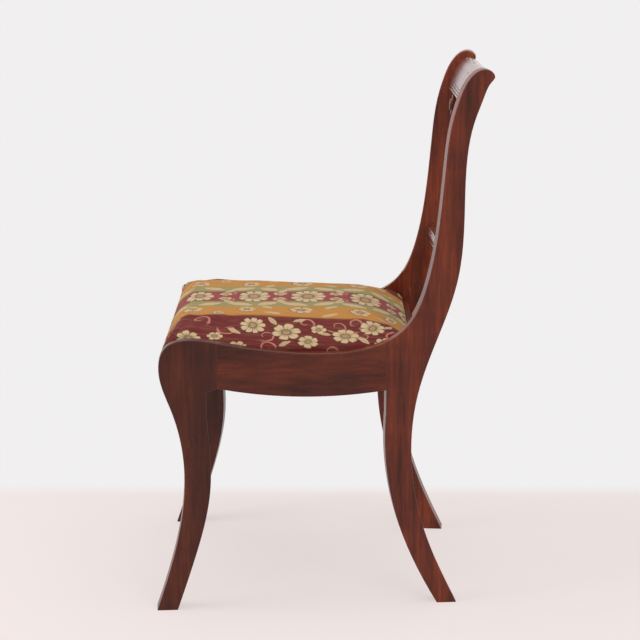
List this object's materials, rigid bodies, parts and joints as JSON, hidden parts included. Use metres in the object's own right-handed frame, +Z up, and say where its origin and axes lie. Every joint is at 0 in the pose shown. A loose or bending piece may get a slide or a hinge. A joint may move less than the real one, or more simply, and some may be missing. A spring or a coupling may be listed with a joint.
{
  "type": "lyre back dining chair",
  "caption": "Wooden dining chair with sabre legs, scrolled stiles, reeded crest rail, a lyre between the cross rails and a padded drop-in seat.",
  "frame": {"origin": "on the floor, under the centre of the chair's overall box", "axes": "+Z up, front of the chair towards -Y, the sitter's left towards +X"},
  "size_m": [0.4798, 0.5193, 0.84],
  "materials": {
    "mahogany": "satin lacquer over dark red mahogany",
    "secondary_wood": "bare, glued",
    "seat_frame_wood": "bare beech",
    "screw_steel": "plain steel wood screw",
    "string_brass": "drawn brass rod",
    "jute_webbing": "plain woven jute",
    "hessian": "open plain weave",
    "hair_stuffing": "matted hair under wadding",
    "woven_cover": "figured stripe weave",
    "dust_cloth": "black cambric"
  },
  "bodies": {
    "frame": {"corner_block_back_left": "secondary_wood", "corner_block_back_right": "secondary_wood", "corner_block_front_left": "secondary_wood", "corner_block_front_right": "secondary_wood", "corner_screws": "screw_steel", "crest_rail": "mahogany", "dowels_back": "secondary_wood", "dowels_front": "secondary_wood", "front_leg_left": "mahogany", "front_leg_right": "mahogany", "front_rail": "mahogany", "lyre_arm_left": "mahogany", "lyre_arm_right": "mahogany", "lyre_base": "mahogany", "lyre_bosses": "mahogany", "lyre_pins": "secondary_wood", "lyre_strings": "string_brass", "lyre_yoke": "mahogany", "rear_leg_left": "mahogany", "rear_leg_right": "mahogany", "rear_rail": "mahogany", "side_rail_left": "mahogany", "side_rail_right": "mahogany", "stay_rail": "mahogany"},
    "seat": {"seat_bar_back": "seat_frame_wood", "seat_bar_front": "seat_frame_wood", "seat_bar_left": "seat_frame_wood", "seat_bar_right": "seat_frame_wood", "seat_cover": "woven_cover", "seat_dust_cloth": "dust_cloth", "seat_hessian": "hessian", "seat_pad": "hair_stuffing", "seat_webbing": "jute_webbing"}
  },
  "joints": [
    {"name": "seat_lift", "type": "slide", "parent": "frame", "child": "seat", "axis": [0, 0, 1], "range_m": [0, 0.15]}
  ]
}
